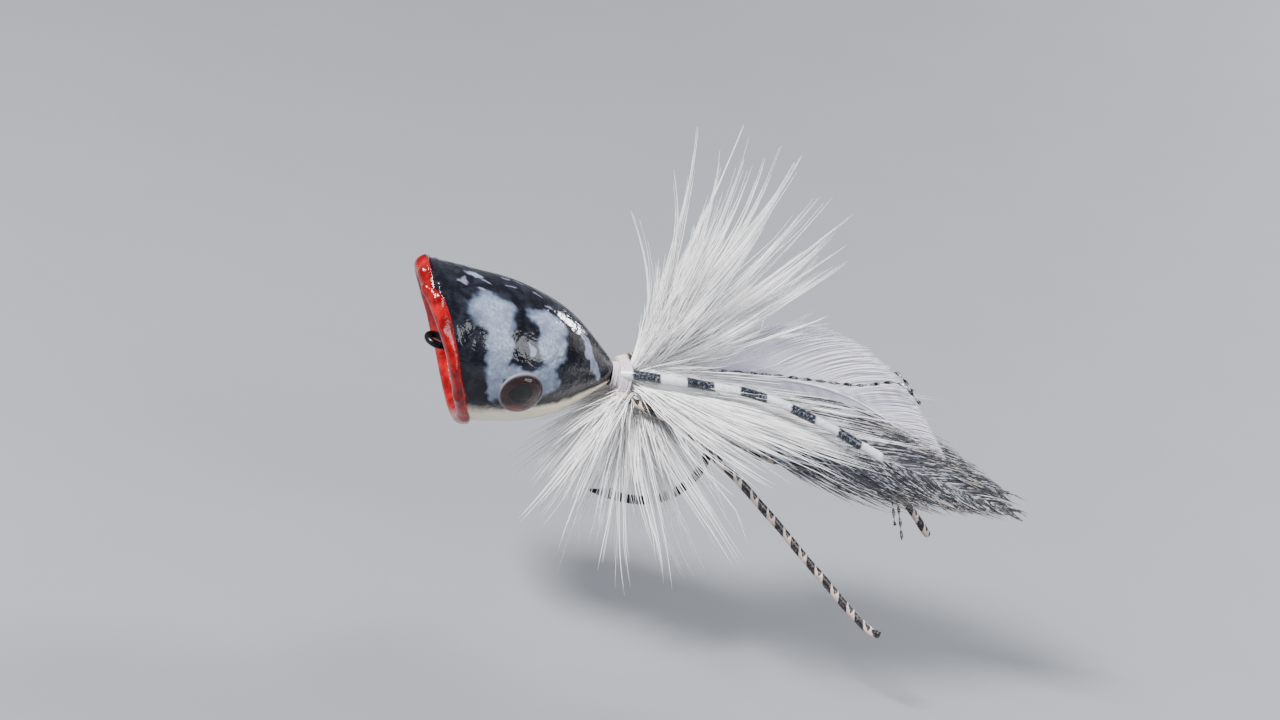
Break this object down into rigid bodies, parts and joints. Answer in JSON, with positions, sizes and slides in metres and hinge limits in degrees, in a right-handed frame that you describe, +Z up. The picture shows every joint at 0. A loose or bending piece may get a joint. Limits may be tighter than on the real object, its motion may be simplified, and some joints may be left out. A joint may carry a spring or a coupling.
{
  "type": "fishing popper",
  "caption": "Cupped bullet-shaped topwater popper on a wide-gape hook, with a wound hackle collar, barred rubber legs and a feather and flash tail.",
  "frame": {"origin": "centre of the hook eye", "axes": "+X runs back along the hook shank from the face to the tail, +Z is up with the hook point hanging below the shank, and -Y is the lure's left side"},
  "size_m": [0.0618, 0.0264, 0.0462],
  "materials": {
    "head_paint": "gloss black lacquer with pale blotches",
    "belly_paint": "gloss cream epoxy",
    "face_red": "thick gloss red enamel",
    "eye_iris": "dark red-brown foil",
    "eye_pupil": "gloss black",
    "eye_lens": "clear dome",
    "hook_black": "black nickel",
    "dark_thread": "waxed thread",
    "white_thread": "pale thread",
    "hackle_white": "soft feather barbs",
    "feather_white": "webby white feather",
    "feather_grizzly": "mottled black and white feather",
    "barred_rubber": "satin rubber with black bars",
    "flash_film": "twisted metallic film"
  },
  "bodies": {
    "lure": {"popper_head": "head_paint", "slot_filler": "belly_paint", "face_enamel": "face_red", "left_eye_iris": "eye_iris", "left_eye_pupil": "eye_pupil", "left_eye_lens": "eye_lens", "right_eye_iris": "eye_iris", "right_eye_pupil": "eye_pupil", "right_eye_lens": "eye_lens", "hook": "hook_black", "shank_thread": "dark_thread", "collar_thread": "white_thread", "tail_thread": "white_thread", "hackle_stem_front": "hackle_white", "hackle_stem_back": "hackle_white", "hackle_top": "hackle_white", "hackle_left": "hackle_white", "hackle_right": "hackle_white", "hackle_lower_left": "hackle_white", "hackle_lower_right": "hackle_white"},
    "tail": {"white_feather_left": "feather_white", "white_feather_right": "feather_white", "grizzly_feather_left": "feather_grizzly", "grizzly_feather_right": "feather_grizzly", "flash_left_upper": "flash_film", "flash_left_lower": "flash_film", "flash_right_upper": "flash_film", "flash_right_lower": "flash_film"},
    "left_upper_leg": {"leg_left_upper": "barred_rubber"},
    "left_lower_leg": {"leg_left_lower": "barred_rubber"},
    "right_upper_leg": {"leg_right_upper": "barred_rubber"},
    "right_lower_leg": {"leg_right_lower": "barred_rubber"}
  },
  "joints": [
    {"name": "tail_swing", "type": "hinge", "parent": "lure", "child": "tail", "pos_m": [0.0202, 0, 0], "axis": [0, -1, 0], "range_deg": [-14, 6], "stiffness_Nm_per_rad": 0.0003},
    {"name": "left_upper_leg_swing", "type": "hinge", "parent": "lure", "child": "left_upper_leg", "pos_m": [0.0169, -0.00158, 0.00085], "axis": [0, 0, -1], "range_deg": [-4, 35], "stiffness_Nm_per_rad": 0.00001},
    {"name": "left_lower_leg_swing", "type": "hinge", "parent": "lure", "child": "left_lower_leg", "pos_m": [0.0169, -0.00158, -0.00085], "axis": [0, 0, -1], "range_deg": [-4, 35], "stiffness_Nm_per_rad": 0.00001},
    {"name": "right_upper_leg_swing", "type": "hinge", "parent": "lure", "child": "right_upper_leg", "pos_m": [0.0169, 0.00158, 0.00085], "axis": [0, 0, 1], "range_deg": [-4, 35], "stiffness_Nm_per_rad": 0.00001},
    {"name": "right_lower_leg_swing", "type": "hinge", "parent": "lure", "child": "right_lower_leg", "pos_m": [0.0169, 0.00158, -0.00085], "axis": [0, 0, 1], "range_deg": [-4, 35], "stiffness_Nm_per_rad": 0.00001}
  ]
}
